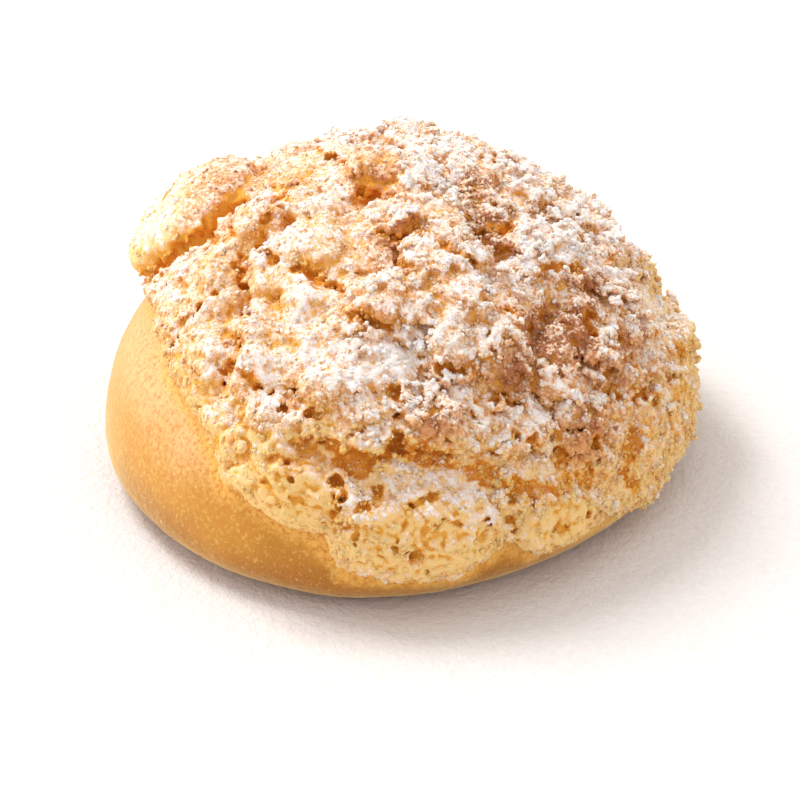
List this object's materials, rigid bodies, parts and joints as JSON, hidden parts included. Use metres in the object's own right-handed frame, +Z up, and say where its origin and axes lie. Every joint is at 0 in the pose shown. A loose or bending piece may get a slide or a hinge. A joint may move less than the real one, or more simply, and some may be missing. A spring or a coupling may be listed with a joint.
{
  "type": "coconut-topped sweet bun",
  "caption": "Round soft bread bun under a craggy baked coconut crust that slumps over the front and leaves one golden flank bare, with icing sugar on top.",
  "frame": {"origin": "on the table plane under the flat base, at the middle of the bun's box in plan", "axes": "+Z up from the table, -Y toward the viewer of the picture, -X toward the bare flank"},
  "size_m": [0.1124, 0.1134, 0.0648],
  "materials": {
    "bread_skin": "soft golden baked skin with a faint sheen and fine pores",
    "coconut_crust": "rough crumbly baked coconut, pale at the rim, toasted on the crags, amber in the cracks",
    "icing_sugar": "matt white powder"
  },
  "bodies": {
    "root": {"bread": "bread_skin", "coconut_cap": "coconut_crust"}
  },
  "joints": []
}
